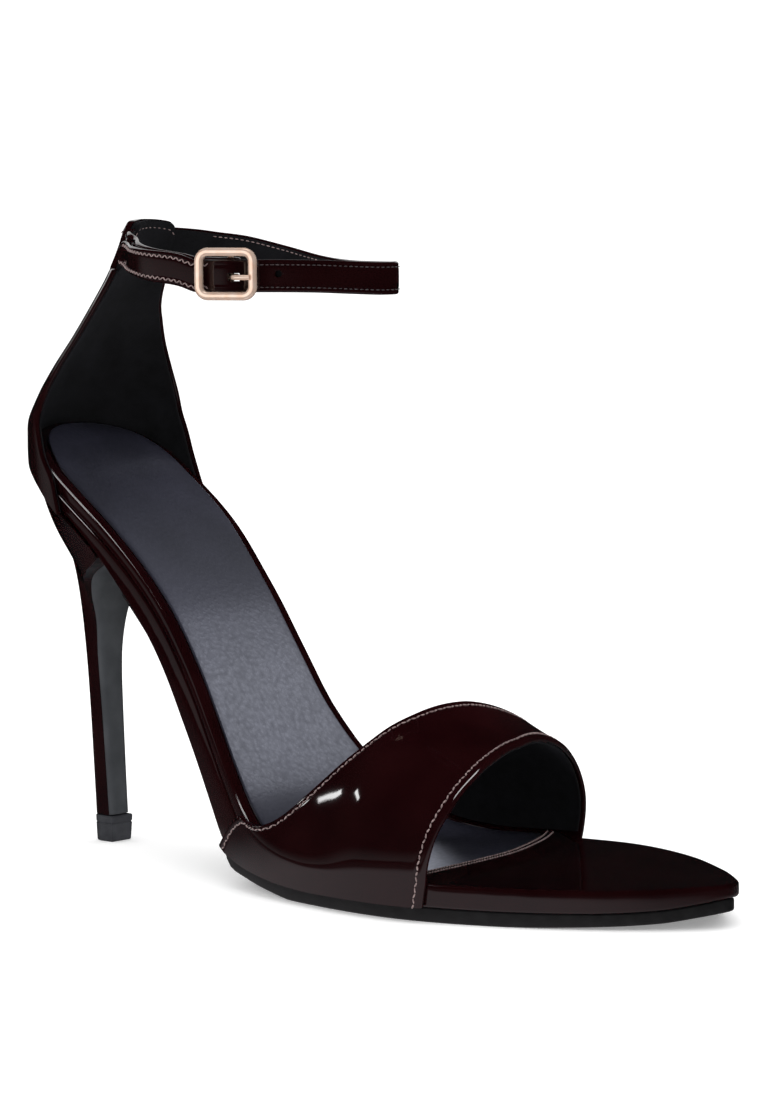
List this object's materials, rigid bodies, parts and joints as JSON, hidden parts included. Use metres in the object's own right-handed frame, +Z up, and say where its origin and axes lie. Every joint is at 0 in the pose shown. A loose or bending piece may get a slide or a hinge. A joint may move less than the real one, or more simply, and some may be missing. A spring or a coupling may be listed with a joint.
{
  "type": "heeled sandal",
  "caption": "Right high-heeled patent sandal with a wide forefoot band, open heel counter and buckled ankle strap.",
  "frame": {"origin": "on the floor, under the middle of the whole sandal's bounding box", "axes": "+X from the heel towards the toe, -Y the outer (lateral, buckle) side, +Z up; it stands on its top lift and forefoot"},
  "size_m": [0.22, 0.0822, 0.162],
  "materials": {
    "patent": "glossy patent, very dark burgundy",
    "lining": "smooth black with a fine grain",
    "outsole": "matte black",
    "satin_grey": "satin dark grey",
    "lift": "satin dark grey",
    "buckle": "light rose gold plate, polished"
  },
  "bodies": {
    "root": {"footbed": "patent", "shank_cover": "patent", "heel": "patent", "heel_counter": "patent", "toe_band": "patent", "ankle_strap": "patent", "sock_lining": "lining", "outsole": "outsole", "heel_breast": "satin_grey", "top_lift": "lift", "buckle_frame": "buckle", "buckle_prong": "buckle"}
  },
  "joints": []
}
